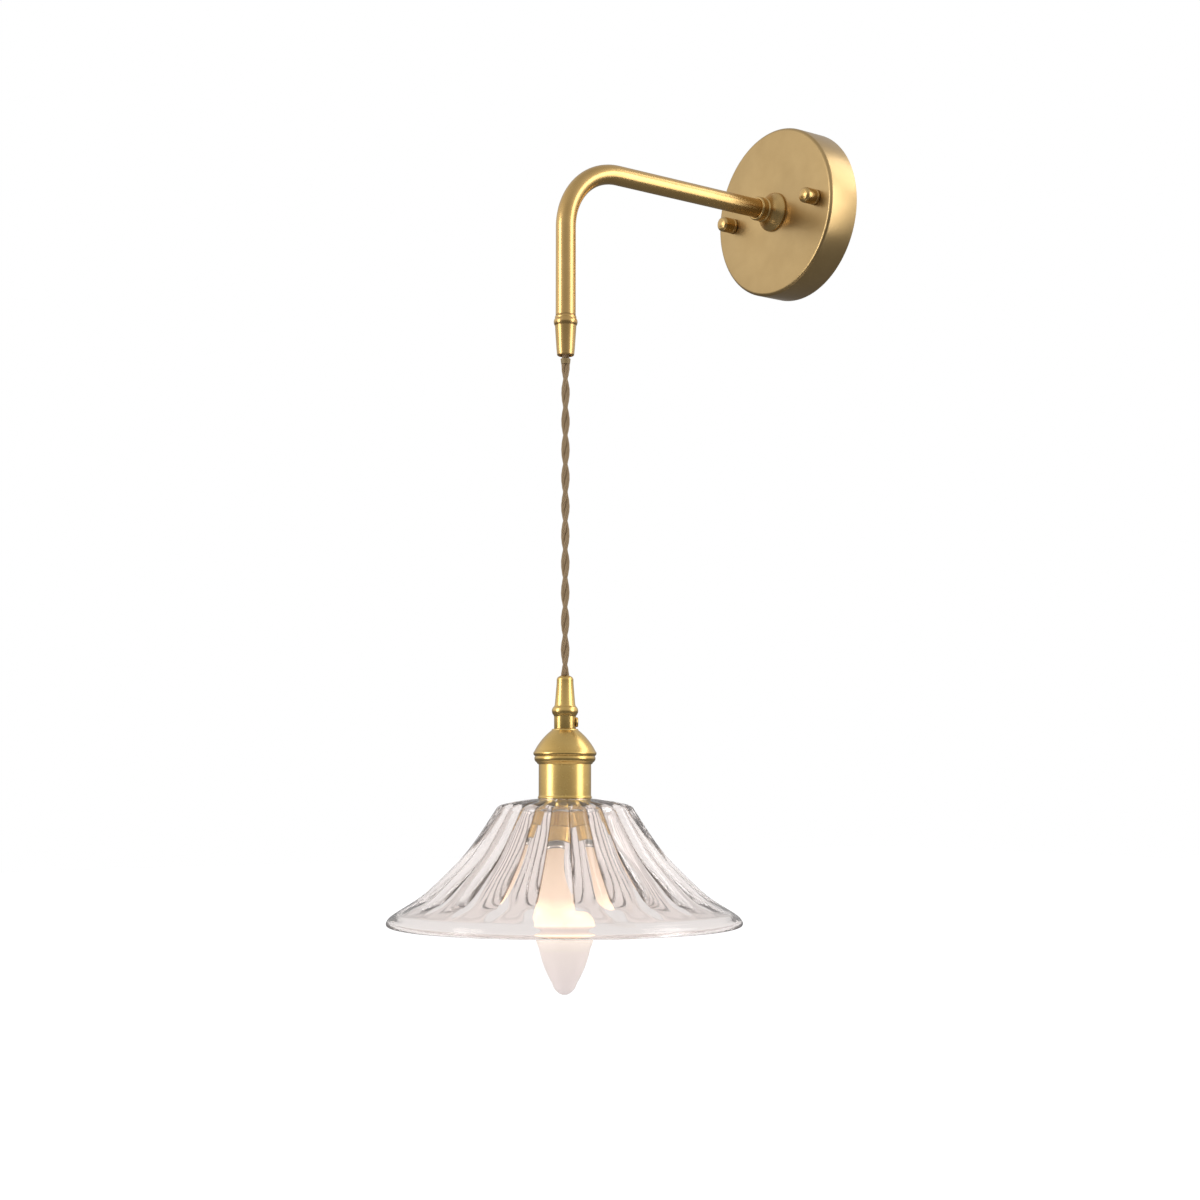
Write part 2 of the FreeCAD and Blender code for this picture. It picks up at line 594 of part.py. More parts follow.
# ---------------------------------------------------------------- lamp holder
def make_holder():
    """Dome cap with two rolled beads, plain shell with a shade seat, insulator and lamp contacts."""
    dome = turned("holder_dome", [
        ("shell_radius + 0.03", "0"),
        ("dome_radius - 2.1", "0"),
        ("dome_radius - 1.5", "1.0", "2.6"),
        ("dome_radius - 0.35", "4.3"),
        ("dome_radius - 0.55", "4.6"),
        ("dome_radius - 0.3", "4.9", "1.5"),
        ("dome_radius", "7.3", "36"),
        ("7.8", "dome_height - 0.2"),
        ("7.6", "dome_height + 0.5"),
        ("6.42", "dome_height + 0.5"),
        ("6.42", "dome_height"),
        ("nipple_radius + 0.05", "dome_height"),
        ("nipple_radius + 0.05", "dome_height - dome_wall"),
        ("7.2", "dome_height - dome_wall", "-35"),
        ("dome_radius - dome_wall - 0.1", "7.0"),
        ("dome_radius - dome_wall - 0.5", "3.3"),
        ("shell_radius + 0.03", "3.3"),
    ])
    hang(dome, "dome_bottom")
    nodes["holder_dome"] = dome
    shell = turned("holder_shell", [
        ("skirt_radius - 1.2", "0"),
        ("skirt_radius - 0.2", "0"),
        ("skirt_radius", "0.4"),
        ("skirt_radius", "seat_height"),
        ("shell_radius + 0.5", "seat_height"),
        ("shell_radius + 0.5", "seat_height + 0.9"),
        ("shell_radius", "seat_height + 1.6"),
        ("shell_radius", "shell_height"),
        ("shell_radius - 1", "shell_height"),
        ("shell_radius - 1", "seat_height + 2.5"),
        ("skirt_radius - 1.2", "seat_height + 1.5"),
    ])
    hang(shell, "shell_bottom")
    nodes["holder_shell"] = shell
    insert = turned("socket_insert", [
        ("7.65", "0"),
        ("insert_radius - 0.6", "0"),
        ("insert_radius", "0.6"),
        ("insert_radius", "insert_height"),
        ("4", "insert_height"),
        ("4", "insert_height - 8"),
        ("0", "insert_height - 8"),
        ("0", "20.5"),
        ("7.65", "20.5"),
    ])
    hang(insert, "shell_bottom + 0.3")
    nodes["socket_insert"] = insert
    sleeve = turned("screw_shell", [
        ("7.0", "0"), ("7.6", "0"), ("7.6", "19"), ("7.0", "19"),
    ])
    hang(sleeve, "shell_bottom - 0.7")
    nodes["screw_shell"] = sleeve
    contact = turned("centre_contact", [
        ("0", "0"), ("3.2", "0"), ("3.2", "0.45"), ("0", "0.45"),
    ])
    hang(contact, "shell_bottom + 0.3 - 20.5 + 0.45")
    nodes["centre_contact"] = contact
    leads = []
    for side in (-1, 1):
        lead = rod("socket_lead_%s" % ("left" if side < 0 else "right"), "lead_radius", "42.5")
        lead.Placement = FreeCAD.Placement(V(side * 1.3, 0, 0), FreeCAD.Rotation())
        lead.setExpression(".Placement.Base.y", bound("-arm_reach"))
        lead.setExpression(".Placement.Base.z", bound("-(shell_bottom + 0.3 - insert_height + 8)"))
        leads.append(lead)
    group("socket_leads", leads)


def make_shade_ring():
    """Knurled ring that screws up the holder's skirt and clamps the shade, with its soft washer."""
    ring = turned("shade_ring", [
        ("skirt_radius + thread_gap", "0"),
        ("ring_body - 0.4", "0"),
        ("ring_body", "0.4"),
        ("ring_body", "ring_height - 3.4"),
        ("ring_radius", "ring_height - 2.4"),
        ("ring_radius", "ring_height - 0.1"),
        ("skirt_radius + thread_gap", "ring_height - 0.1"),
    ])
    notch = new_sketch(ring, "XY_Plane", "ring_notch")
    circles(notch, [("ring_body + 0.35", "0")], "0.9")
    pocket = ring.newObject("PartDesign::Pocket", "ring_notch_pocket")
    pocket.Profile = notch
    pocket.Reversed = True
    pocket.setExpression("Length", bound("ring_height - 3.4"))
    pattern = ring.newObject("PartDesign::PolarPattern", "ring_knurl")
    pattern.Originals = [pocket]
    pattern.Axis = (notch, ["N_Axis"])
    pattern.Angle = 360
    pattern.Occurrences = 18
    ring.Tip = pattern
    hang(ring, "shade_top + shade_seat + 0.1 + washer_thickness + 0.2 + ring_height")
    nodes["shade_ring"] = ring
    washer = turned("shade_washer", [
        ("shade_hole + 0.2", "0"), ("ring_radius - 0.3", "0"),
        ("ring_radius - 0.3", "washer_thickness"), ("shade_hole + 0.2", "washer_thickness"),
    ])
    hang(washer, "shade_top + shade_seat + 0.05 + washer_thickness")
    nodes["shade_washer"] = washer


# ---------------------------------------------------------------- bulb
def make_bulb():
    """Frosted candle bulb: glass envelope, lamp cap, base contact, and the stem and filament inside."""
    glass = turned("bulb_glass", [
        ("0", "0"),
        ("1.4", "0.15", "9"),
        ("7.2", "6.6", "60"),
        ("14.9", "26.6", "26"),
        ("bulb_radius", "38", "26"),
        ("16.3", "48", "60"),
        ("11.2", "68", "-45"),
        ("9.2", "bulb_glass_length"),
        ("8.2", "bulb_glass_length"),
        ("10.2", "68", "-59"),
        ("15.3", "48", "-25"),
        ("bulb_radius - 1", "38", "-25"),
        ("13.9", "26.9", "-59"),
        ("6.3", "7.3", "-8"),
        ("0", "1.2"),
    ])
    hang(glass, "bulb_tip")
    nodes["bulb_glass"] = glass
    cap = turned("bulb_cap", [
        ("8.2", "0"),
        ("9.2", "0", "2.5"),
        ("8.0", "3.0"),
        ("cap_radius + 0.02", "4.6"),
        ("cap_radius + 0.02", "cap_length - 2.5"),
        ("4.2", "cap_length"),
        ("0", "cap_length"),
        ("0", "cap_length - 0.6"),
        ("3.9", "cap_length - 0.6"),
        ("cap_radius - 0.5", "cap_length - 2.8"),
        ("cap_radius - 0.5", "4.7"),
    ])
    hang(cap, "bulb_tip - bulb_glass_length")
    nodes["bulb_cap"] = cap
    contact = turned("bulb_contact", [
        ("0", "0"), ("3.4", "0"), ("2.2", "1.2"), ("0", "1.4"),
    ])
    hang(contact, "bulb_tip - bulb_glass_length - cap_length")
    nodes["bulb_contact"] = contact
    stem = turned("bulb_stem", [
        ("0", "0"), ("1.2", "0"), ("1.8", "14"), ("3.4", "26"), ("5.6", "36"), ("0", "36"),
    ])
    hang(stem, "bulb_tip - 47")
    nodes["bulb_stem"] = stem
    strands = []
    for turn in range(4):
        angle = math.radians(45 + 90 * turn)
        strand = rod("filament_%d" % turn, "0.6", "22")
        strand.Placement = FreeCAD.Placement(V(4.6 * math.cos(angle), 0, 0), FreeCAD.Rotation())
        strand.setExpression(".Placement.Base.y", bound("-arm_reach + %.4f" % (4.6 * math.sin(angle))))
        strand.setExpression(".Placement.Base.z", bound("-(bulb_tip - 34)"))
        strands.append(strand)
    group("bulb_filament", strands)


# ---------------------------------------------------------------- fluted glass shade
# Crest line of the shade, from the holder's hole over the shoulder, down the skirt and round the rim:
# radius, height below the top, and how much of the full flute depth there is.
CREST = [
    (14.6, 0.0, 0.0), (18.0, 0.25, 0.02), (22.0, 0.7, 0.10), (26.0, 1.3, 0.25), (30.0, 1.95, 0.38),
    (34.0, 2.85, 0.50), (37.6, 3.7, 0.56), (39.6, 4.9, 0.60), (40.6, 6.7, 0.64), (42.3, 9.3, 0.68),
    (44.6, 13.0, 0.73), (47.6, 17.6, 0.80), (51.0, 22.6, 0.87), (54.6, 27.8, 0.94), (58.6, 32.6, 1.0),
    (63.2, 37.6, 1.0), (68.0, 42.3, 1.0), (72.8, 47.0, 1.0), (77.4, 51.4, 0.98), (81.4, 54.9, 0.94),
    (84.9, 57.6, 0.80), (88.0, 59.7, 0.34), (91.2, 61.7, 0.06), (94.8, 63.9, 0.0), (98.4, 66.1, 0.0),
    (101.4, 68.3, 0.0), (102.8, 70.2, 0.0), (103.2, 71.8, 0.0), (102.3, 73.0, 0.0), (100.9, 73.0, 0.0),
]


def inward_at(index):
    """Unit direction from the crest line into the glass, at one row of the table."""
    before, after = CREST[max(index - 1, 0)], CREST[min(index + 1, len(CREST) - 1)]
    along = V(after[0] - before[0], 0, before[1] - after[1]).normalize()
    return V(along.z, 0, -along.x)


def smooth_knots(count, degree):
    """Evenly spaced knots, clamped at both ends."""
    spans = count - degree
    return [degree + 1] + [1] * (spans - 1) + [degree + 1], [float(k) for k in range(spans + 1)]


def flute_patch():
    """One flute's outer surface: a rounded rib between two creases, running from the hole to the rim."""
    half_angle = math.pi / size("flute_count")
    scale = size("shade_rim") / 103.0
    rows = []
    for index, (radius, drop, depth) in enumerate(CREST):
        crest = V(radius * scale, 0, -drop)
        sink = depth * size("flute_depth")
        crease = crest + inward_at(index) * sink
        side_x, side_y = crease.x * math.cos(half_angle), crease.x * math.sin(half_angle)
        middle = V(2 * crest.x - side_x, 0, 2 * crest.z - crease.z)
        rows.append([V(side_x, -side_y, crease.z), middle, V(side_x, side_y, crease.z)])
    repeats, knots = smooth_knots(len(rows), 3)
    surface = Part.BSplineSurface()
    surface.buildFromPolesMultsKnots(rows, repeats, [3, 3], knots, [0.0, 1.0], False, False, 3, 2)
    return surface.toShape()


def flat_cap(ribs, drop):
    """The flat face that closes the ribs at one height."""
    ring = [edge for rib in ribs for edge in rib.Edges
            if all(abs(corner.Z + drop) < 1e-4 for corner in edge.Vertexes)]
    return Part.Face(Part.Wire(Part.__sortEdges__(ring)))


def shade_hollow():
    """The turned space inside the shade: hole, flat clamp seat, and a smooth wall that follows the crest."""
    inner = []
    for index, (radius, drop, depth) in enumerate(CREST[5:25], start=5):
        wall = depth * size("flute_depth") + size("shade_wall")
        inner.append(V(radius, 0, -drop) + inward_at(index) * wall)
    inner += [V(98.6, 0, -70.4), V(99.6, 0, -72.2), V(100.4, 0, -73.4)]
    inner[0] = V(inner[0].x, 0, -size("shade_seat"))
    repeats, knots = smooth_knots(len(inner), 3)
    wall_line = Part.BSplineCurve()
    wall_line.buildFromPolesMultsKnots(inner, repeats, knots, False, 3)
    hole = size("shade_hole")
    seat = V(hole, 0, -size("shade_seat"))
    loop = [inner[-1], V(0, 0, inner[-1].z), V(0, 0, 2), V(hole, 0, 2), seat, inner[0]]
    edges = [Part.LineSegment(one, two).toShape() for one, two in zip(loop[:-1], loop[1:])]
    section = Part.Face(Part.Wire(edges + [wall_line.toShape()]))
    return section.revolve(V(0, 0, 0), V(0, 0, 1), 360)


def make_shade():
    """Pressed glass shade: ribs outside, smooth inside, with a thick round rim."""
    patch = flute_patch()
    count = int(size("flute_count"))
    ribs = []
    for turn in range(count):
        rib = patch.copy()
        rib.rotate(V(0, 0, 0), V(0, 0, 1), 360.0 * (turn + 0.5) / count - 1.7)
        ribs.append(rib)
    skin = Part.Shell(ribs + [flat_cap(ribs, CREST[0][1]), flat_cap(ribs, CREST[-1][1])])
    skin.sewShape()
    solid = Part.Solid(skin)
    if solid.Volume < 0:
        solid.reverse()
    fluted = doc.addObject("Part::Feature", "fluted_blank")
    fluted.Shape = solid
    hang(fluted, "shade_top")
    hollow = doc.addObject("Part::Feature", "shade_hollow")
    hollow.Shape = shade_hollow()
    hang(hollow, "shade_top")
    cut("glass_shade", fluted, hollow)


make_canopy()
make_wall_bracket()
make_studs()
make_cap_nut("cap_nut_left", "-")
make_cap_nut("cap_nut_right", "")
make_terminals()
make_arm()
make_inner_wires()
make_upper_grip()
make_cord()
make_lower_grip()
make_holder()
make_shade_ring()
make_bulb()
make_shade()
doc.recompute()

# ---------------------------------------------------------------- checks and files
for item in doc.Objects:
    if "Invalid" in item.State or "Error" in item.State:
        raise RuntimeError("%s could not be built: %s" % (item.Label, item.State))
os.makedirs("parts", exist_ok=True)
for label, item in nodes.items():
    shape = item.Shape
    if shape.isNull() or not shape.isValid() or not shape.Solids:
        raise RuntimeError("%s has no sound solid" % label)
    shape.exportStep("parts/%s.step" % label)
    print("%-18s solids %d volume %9.1f mm3" % (label, len(shape.Solids), shape.Volume))
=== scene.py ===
"""Looks for the hanging pendant wall sconce: satin brass, twisted cord, fluted glass, frosted bulb.

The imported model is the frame.  Turned pieces are drawn again here from the same outlines, with finer
rings and softened edges, and stand for their plain solids.  Lengths are in millimetres until a mesh
or a node is made from them.
"""
import bmesh
import bpy
import math
import numpy as np
from mathutils import Matrix, Vector


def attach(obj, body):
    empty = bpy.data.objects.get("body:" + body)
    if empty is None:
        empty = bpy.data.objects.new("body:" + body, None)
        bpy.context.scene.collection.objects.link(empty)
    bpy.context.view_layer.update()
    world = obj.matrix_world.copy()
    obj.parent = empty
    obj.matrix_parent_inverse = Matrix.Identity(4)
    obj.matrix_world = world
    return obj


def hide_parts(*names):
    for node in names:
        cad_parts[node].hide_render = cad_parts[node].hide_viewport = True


MM = 0.001
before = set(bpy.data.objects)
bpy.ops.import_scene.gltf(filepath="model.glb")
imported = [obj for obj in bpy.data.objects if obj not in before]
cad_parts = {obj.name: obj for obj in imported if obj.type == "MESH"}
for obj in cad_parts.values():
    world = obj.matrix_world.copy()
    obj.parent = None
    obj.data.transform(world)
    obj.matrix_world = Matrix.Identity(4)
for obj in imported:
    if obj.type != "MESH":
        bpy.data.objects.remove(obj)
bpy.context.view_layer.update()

# Sizes shared with the source, in millimetres
ARM_REACH = 188.6
ARM_DROP = 93.0
ARM_BEND = 39.0
ARM_SEAT = 27.0
ARM_RADIUS = 6.0
ARM_WALL = 1.0
CANOPY_DEPTH = 22.5
CORD_TOP = 114.2
CORD_BOTTOM = 318.6
CORD_DIAMETER = 5.0
TWIST_PITCH = 34.0
STRAND_RADIUS = 1.3
SHADE_TOP = 379.45
FLUTES = 24
FLUTE_DEPTH = 2.6
FLUTE_PHASE = -1.7          # degrees from +X to the first crease
SHADE_WALL = 2.3
SHADE_SEAT = 4.0

# Lower ends of the pieces on the pendant line, in millimetres below the canopy's centre
GRIP_END = 117.4
SLEEVE_END = 122.3
CLAMP_SCREW = 335.1
HEAD_GRIP_END = 338.9
DOME_END = 359.5
SHADE_RING_END = 396.25
SHELL_END = 404.5
BULB_NECK = 409.0
BULB_TIP = 492.2
FLOOR = 720.0


# ---------------------------------------------------------------- camera
def set_camera():
    """The photograph's view: slightly below the lamp, looking up and to the right, 1200 by 1200."""
    data = bpy.data.cameras.new("photo_camera")
    data.lens = 57.0
    data.sensor_width = 36.0
    data.clip_start = 0.01
    camera = bpy.data.objects.new("photo_camera", data)
    camera.location = (0.90565, -0.83499, -0.36635)
    camera.rotation_euler = (math.radians(95.29), 0.0, math.radians(53.43))
    bpy.context.scene.collection.objects.link(camera)
    bpy.context.scene.camera = camera


set_camera()


# ---------------------------------------------------------------- material tools
def linear(hex_colour):
    """An sRGB hex colour as linear RGBA."""
    channels = [int(hex_colour[k:k + 2], 16) / 255 for k in (1, 3, 5)]
    curve = [c / 12.92 if c <= 0.04045 else ((c + 0.055) / 1.055) ** 2.4 for c in channels]
    return (*curve, 1.0)


def add_node(tree, kind, settings=None, links=None):
    """Adds one node; settings are its attributes or input values, links are {input: output socket}."""
    node = tree.nodes.new(kind)
    for name, value in (settings or {}).items():
        if isinstance(name, str) and hasattr(node, name):
            setattr(node, name, value)
        else:
            node.inputs[name].default_value = value
    for name, socket in (links or {}).items():
        tree.links.new(socket, node.inputs[name])
    return node


def new_material(name, settings):
    """A material with its shader's own sockets set; returns material, node tree and shader."""
    material = bpy.data.materials.new(name)
    material.use_nodes = True
    tree = material.node_tree
    shader = tree.nodes["Principled BSDF"]
    for socket, value in settings.items():
        shader.inputs[socket].default_value = value
    return material, tree, shader


def ramp(tree, factor, stops):
    """A colour ramp over a factor, with (place, hex colour) stops."""
    node = add_node(tree, "ShaderNodeValToRGB", {}, {"Fac": factor})
    elements = node.color_ramp.elements
    while len(elements) < len(stops):
        elements.new(0.5)
    for element, (place, colour) in zip(elements, stops):
        element.position = place
        element.color = linear(colour)
    return node.outputs["Color"]


def grain(tree, size_mm, detail=2.0, stretch=(1.0, 1.0, 1.0)):
    """Noise whose grains are the given size, on the piece's own coordinates."""
    place = add_node(tree, "ShaderNodeTexCoord").outputs["Object"]
    scaled = add_node(tree, "ShaderNodeMapping", {"Scale": stretch}, {"Vector": place}).outputs[0]
    return add_node(tree, "ShaderNodeTexNoise", {"Scale": 1.0 / (size_mm * MM), "Detail": detail},
                    {"Vector": scaled}).outputs["Fac"]


def remap(tree, value, taken, given):
    """Turns one range of a value into another, and holds it at the ends."""
    return add_node(tree, "ShaderNodeMapRange", {
        "From Min": taken[0], "From Max": taken[1], "To Min": given[0], "To Max": given[1]},
        {"Value": value}).outputs[0]


def spread(tree, factor, low, high):
    """Turns a 0 to 1 factor into the range from low to high."""
    return remap(tree, factor, (0.0, 1.0), (low, high))


def compute(tree, operation, links, values=None):
    """One step of arithmetic; links and values are {input number: output socket or value}."""
    return add_node(tree, "ShaderNodeMath", {"operation": operation, **(values or {})}, links).outputs[0]


def bump(tree, shader, height, depth_mm, strength=1.0):
    """Gives the shader's surface the relief of a height, where 1 stands for the depth."""
    relief = add_node(tree, "ShaderNodeBump", {"Strength": strength, "Distance": depth_mm * MM},
                      {"Height": height}).outputs["Normal"]
    tree.links.new(relief, shader.inputs["Normal"])


# ---------------------------------------------------------------- materials
def satin_brass(name, deep, light, roughness=0.3):
    """Brass, brushed fine and clear-lacquered: a warm, soft gloss with faint clouding underneath."""
    material, tree, shader = new_material(name, {
        "Metallic": 1.0, "Roughness": roughness, "Coat Weight": 0.12, "Coat Roughness": 0.2})
    clouding = grain(tree, 14.0, 3.0)
    tree.links.new(ramp(tree, clouding, [(0.3, deep), (0.7, light)]), shader.inputs["Base Color"])
    polish = grain(tree, 1.2, 4.0)
    tree.links.new(spread(tree, polish, roughness - 0.02, roughness + 0.03), shader.inputs["Roughness"])
    # the real polishing grain is near 0.1 mm, drawn at 0.4 mm so that it shows
    bump(tree, shader, grain(tree, 0.4, 2.0), 0.01, 0.03)
    return material


def zinc_steel(name, thread_mm=0.0, axis="Y"):
    """Bright zinc on steel: bluish grey with a faint mottle; hidden screws add their thread as ridges."""
    material, tree, shader = new_material(name, {"Metallic": 1.0, "Roughness": 0.34})
    mottle = grain(tree, 2.5, 5.0)
    tree.links.new(ramp(tree, mottle, [(0.3, "#a9abad"), (0.7, "#c9cbcc")]), shader.inputs["Base Color"])
    tree.links.new(spread(tree, mottle, 0.26, 0.42), shader.inputs["Roughness"])
    if thread_mm:
        place = add_node(tree, "ShaderNodeTexCoord").outputs["Object"]
        ridge = add_node(tree, "ShaderNodeTexWave", {
            "wave_type": "BANDS", "bands_direction": axis, "wave_profile": "TRI",
            "Scale": 2 * math.pi / (20 * thread_mm * MM), "Distortion": 0.0},
            {"Vector": place}).outputs["Fac"]
        bump(tree, shader, ridge, 0.5, 1.0)
    else:
        bump(tree, shader, grain(tree, 0.6, 3.0), 0.02, 0.6)
    return material


def clear_glass(name):
    """Drawn soda-lime glass, fire-polished: a breath of pink, and slow waves in its skin."""
    material, tree, shader = new_material(name, {
        "Base Color": linear("#faf3f1"), "Transmission Weight": 0.91, "Roughness": 0.05, "IOR": 1.46})
    bump(tree, shader, grain(tree, 9.0, 1.0), 0.05, 0.25)
    return material


def fluted_glass(name):
    """The shade's pressed glass: light is lost in each crease, and a thin dark line of painted shade in the base
    colour stands for it.
    """
    material, tree, shader = new_material(name, {
        "Transmission Weight": 0.93, "Roughness": 0.04, "IOR": 1.46})
    place = add_node(tree, "ShaderNodeTexCoord").outputs["Object"]
    centred = add_node(tree, "ShaderNodeMapping", {"Location": (0.0, ARM_REACH * MM, 0.0)},
                       {"Vector": place}).outputs[0]
    parts = add_node(tree, "ShaderNodeSeparateXYZ", {}, {"Vector": centred}).outputs
    angle = compute(tree, "ARCTAN2", {0: parts["Y"], 1: parts["X"]})
    # counts flutes round the shade, a whole number at each crease; + FLUTES keeps it above zero
    flute = compute(tree, "MULTIPLY_ADD", {0: angle},
                    {1: FLUTES / (2 * math.pi), 2: -FLUTE_PHASE * FLUTES / 360 + FLUTES})
    to_crease = compute(tree, "PINGPONG", {0: flute}, {1: 0.5})
    # the flutes run out 55 to 62 mm below the top, and the lines with them
    rim = remap(tree, parts["Z"], (-(SHADE_TOP + 62) * MM, -(SHADE_TOP + 55) * MM), (0.2, 0.0))
    away = compute(tree, "ADD", {0: to_crease, 1: rim})
    # painted shade: the base colour darkens to a thin brown-grey line along each crease
    tree.links.new(ramp(tree, away, [(0.0, "#7d6a5c"), (0.02, "#c0b2a9"), (0.045, "#fdf6f3")]),
                   shader.inputs["Base Color"])
    bump(tree, shader, grain(tree, 9.0, 1.0), 0.05, 0.25)
    return material


def frosted_glow(name):
    """Acid-frosted bulb glass, lit from inside: warm white glow at the belly, pale grey-pink at the tip."""
    material, tree, shader = new_material(name, {"Roughness": 0.42, "Specular IOR Level": 0.4,
                                                 "Emission Strength": 1.25})
    place = add_node(tree, "ShaderNodeTexCoord").outputs["Object"]
    height = add_node(tree, "ShaderNodeSeparateXYZ", {}, {"Vector": place}).outputs["Z"]
    along = remap(tree, height, (-BULB_TIP * MM, -BULB_NECK * MM), (0.0, 1.0))
    # painted light: the frost's base colour is lighter and warmer towards the belly, where the glow is, and greyer
    # at the tip
    frost = ramp(tree, along, [(0.0, "#d6cdcc"), (0.35, "#ddd3cf"), (0.6, "#efe6da"), (1.0, "#e2d2bc")])
    glow = ramp(tree, along, [
        (0.0, "#8a807d"), (0.3, "#938983"), (0.42, "#b5a898"), (0.49, "#ffe9c8"),
        (0.56, "#f3d6ae"), (0.68, "#ab937a"), (1.0, "#8d7660")])
    tree.links.new(frost, shader.inputs["Base Color"])
    tree.links.new(glow, shader.inputs["Emission Color"])
    bump(tree, shader, grain(tree, 0.4, 3.0), 0.02, 0.4)
    return material


def woven_cover(name):
    """Cotton-braided flex cover: beige yarns that cross on the slant, matt, with painted shade darkening the gaps
    between them.
    """
    material, tree, shader = new_material(name, {
        "Roughness": 0.85, "Sheen Weight": 0.08, "Sheen Roughness": 0.5})
    wrap = add_node(tree, "ShaderNodeTexCoord").outputs["UV"]
    yarns = []
    for slant in (1.0, -1.0):
        # about one yarn to a unit of the wrap, so they lie near 1 mm apart
        slanted = add_node(tree, "ShaderNodeMapping", {"Rotation": (0.0, 0.0, slant * math.pi / 4)},
                           {"Vector": wrap}).outputs[0]
        yarns.append(add_node(tree, "ShaderNodeTexWave", {"Scale": 0.36, "Distortion": 0.4, "Detail": 2.0},
                              {"Vector": slanted}).outputs["Fac"])
    crossing = compute(tree, "MAXIMUM", {0: yarns[0], 1: yarns[1]})
    fuzz = grain(tree, 0.5, 4.0)
    mixed = compute(tree, "MULTIPLY", {0: crossing}, {1: 0.75})
    tone = compute(tree, "MULTIPLY_ADD", {0: fuzz, 2: mixed}, {1: 0.35})
    # painted shade: the base colour turns dark brown in the gaps between the yarns
    tree.links.new(ramp(tree, tone, [(0.15, "#57432e"), (0.5, "#957a5a"), (0.95, "#c0a47f")]),
                   shader.inputs["Base Color"])
    bump(tree, shader, crossing, 0.25, 0.9)
    return material


def moulded(name, deep, light, roughness, grain_mm=1.5, extra=None):
    """A plain moulded, plated or glazed surface: near-even, with slight changes of tone and gloss."""
    material, tree, shader = new_material(name, {"Roughness": roughness, **(extra or {})})
    tone = grain(tree, grain_mm, 3.0)
    tree.links.new(ramp(tree, tone, [(0.3, deep), (0.7, light)]), shader.inputs["Base Color"])
    tree.links.new(spread(tree, tone, roughness - 0.05, roughness + 0.05), shader.inputs["Roughness"])
    bump(tree, shader, grain(tree, grain_mm / 3, 2.0), 0.015, 0.4)
    return material


BRASS = satin_brass("satin_brass", "#cda86a", "#d5b174", 0.27)
CANOPY_BRASS = satin_brass("spun_brass", "#bc9e6c", "#c4a673", 0.33)
HOLDER_BRASS = satin_brass("turned_brass", "#d8b36a", "#e1be76", 0.26)
ZINC = zinc_steel("zinc_plated_steel")
ZINC_THREAD = zinc_steel("zinc_plated_thread", 0.7)
# the grub screw under the arm's collar is blackened steel, and its dark brown also stands for the shadow under the
# collar: painted shade
DARK_SCREW = moulded("blackened_steel_and_painted_shade", "#4b3a20", "#66512e", 0.35, 1.0, {"Metallic": 1.0})
GLASS = clear_glass("drawn_clear_glass")
SHADE_GLASS = fluted_glass("pressed_clear_glass")
FROSTED = frosted_glow("frosted_bulb_glass")
FABRIC = woven_cover("braided_cotton")
NYLON = moulded("white_nylon", "#dcd9d0", "#e9e6de", 0.38)
SLEEVING = moulded("soft_sleeving", "#8f7850", "#a38a5f", 0.5)
PORCELAIN = moulded("glazed_porcelain", "#e9e6df", "#f3f1eb", 0.12, 4.0, {"Coat Weight": 0.5})
NICKEL = moulded("nickel_plate", "#c3c1bb", "#d5d3ce", 0.2, 3.0, {"Metallic": 1.0})
INSULATION = moulded("lead_insulation", "#5f3a22", "#7a4c2d", 0.4)
SOLDER = moulded("solder", "#9a9b9c", "#b2b3b4", 0.45, 0.8, {"Metallic": 1.0})
SILICONE = moulded("soft_clear_washer", "#d4d1c8", "#e2dfd7", 0.45)
GLOW_STICK = moulded("filament_coating", "#f0bd55", "#ffd774", 0.5, 0.6,
                     {"Emission Color": linear("#ffcf70"), "Emission Strength": 1.5})

NODE_FINISH = {
    "wall_bracket": ZINC, "bracket_studs": ZINC_THREAD, "stud_lock_nuts": ZINC, "earth_screw": ZINC,
    "terminal_block": NYLON, "terminal_screws": ZINC, "arm_nipple": ZINC_THREAD, "arm_lock_nut": ZINC,
    "arm_lock_washer": ZINC, "arm_grub_screw": DARK_SCREW, "swivel_ring": BRASS, "arm_flex": SLEEVING,
    "feed_leads": INSULATION, "head_nipple": ZINC, "head_lock_nut": ZINC, "screw_shell": NICKEL,
    "socket_insert": PORCELAIN, "centre_contact": NICKEL, "socket_leads": INSULATION, "bulb_cap": NICKEL,
    "bulb_contact": SOLDER, "bulb_stem": GLASS, "bulb_filament": GLOW_STICK, "shade_washer": SILICONE,
}


# ---------------------------------------------------------------- shape tools
def arc_points(start, end, radius, steps=10):
    """Points of the short arc from start to end; a plus radius turns left on the way."""
    start, end = np.array(start, float), np.array(end, float)
    chord = end - start
    half = np.hypot(*chord) / 2
    left = np.array([-chord[1], chord[0]]) / (2 * half)
    centre = (start + end) / 2 + left * math.copysign(math.sqrt(max(radius ** 2 - half ** 2, 0.0)), radius)
    first = math.atan2(*(start - centre)[::-1])
    sweep = math.atan2(*(end - centre)[::-1]) - first
    sweep = (sweep + math.pi) % (2 * math.pi) - math.pi
    angles = first + sweep * np.linspace(0, 1, steps + 1)
    return [tuple(centre + abs(radius) * np.array([math.cos(a), math.sin(a)])) for a in angles[:-1]]


def outline_points(corners):
    """A closed outline from corners (across, up) or (across, up, radius of the arc to the next)."""
    points = []
    for corner, following in zip(corners, corners[1:] + corners[:1]):
        if len(corner) == 3:
            points += arc_points(corner[:2], following[:2], corner[2])
        else:
            points.append(tuple(corner))
    return points


